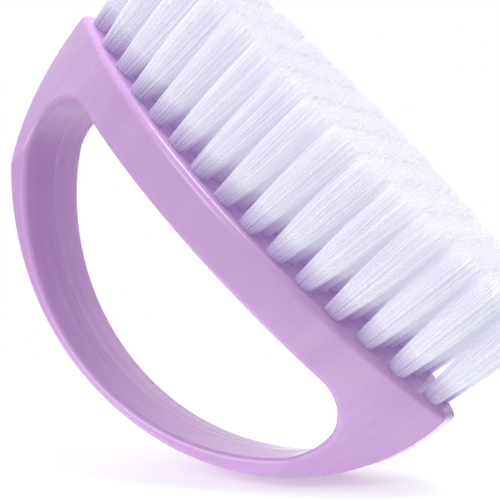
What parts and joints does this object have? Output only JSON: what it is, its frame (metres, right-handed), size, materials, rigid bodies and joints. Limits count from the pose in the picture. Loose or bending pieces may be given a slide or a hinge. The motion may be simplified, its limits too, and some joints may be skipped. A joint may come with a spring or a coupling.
{
  "type": "nail brush",
  "caption": "Boat-shaped plastic nail brush with an arched finger loop and flat-trimmed white filament tufts held by hidden metal anchors.",
  "frame": {"origin": "under the middle of the brush, on the plane of the trimmed tuft tips", "axes": "+X along the brush from tip to tip, +Y across it through the finger loop, +Z from the tuft tips up to the top of the loop"},
  "size_m": [0.0925, 0.0414, 0.0615],
  "materials": {
    "body_plastic": "glossy lilac polypropylene",
    "bristle": "white nylon filament bundles",
    "anchor_metal": "drawn flat wire"
  },
  "bodies": {
    "root": {"body": "body_plastic", "tuft_row_01": "bristle", "tuft_row_02": "bristle", "tuft_row_03": "bristle", "tuft_row_04": "bristle", "tuft_row_05": "bristle", "tuft_row_06": "bristle", "tuft_row_07": "bristle", "tuft_row_08": "bristle", "tuft_row_09": "bristle", "tuft_row_10": "bristle", "tuft_row_11": "bristle", "tuft_row_12": "bristle", "tuft_row_13": "bristle", "tuft_row_14": "bristle", "tuft_row_15": "bristle", "anchor_row_01": "anchor_metal", "anchor_row_02": "anchor_metal", "anchor_row_03": "anchor_metal", "anchor_row_04": "anchor_metal", "anchor_row_05": "anchor_metal", "anchor_row_06": "anchor_metal", "anchor_row_07": "anchor_metal", "anchor_row_08": "anchor_metal", "anchor_row_09": "anchor_metal", "anchor_row_10": "anchor_metal", "anchor_row_11": "anchor_metal", "anchor_row_12": "anchor_metal", "anchor_row_13": "anchor_metal", "anchor_row_14": "anchor_metal", "anchor_row_15": "anchor_metal"}
  },
  "joints": []
}
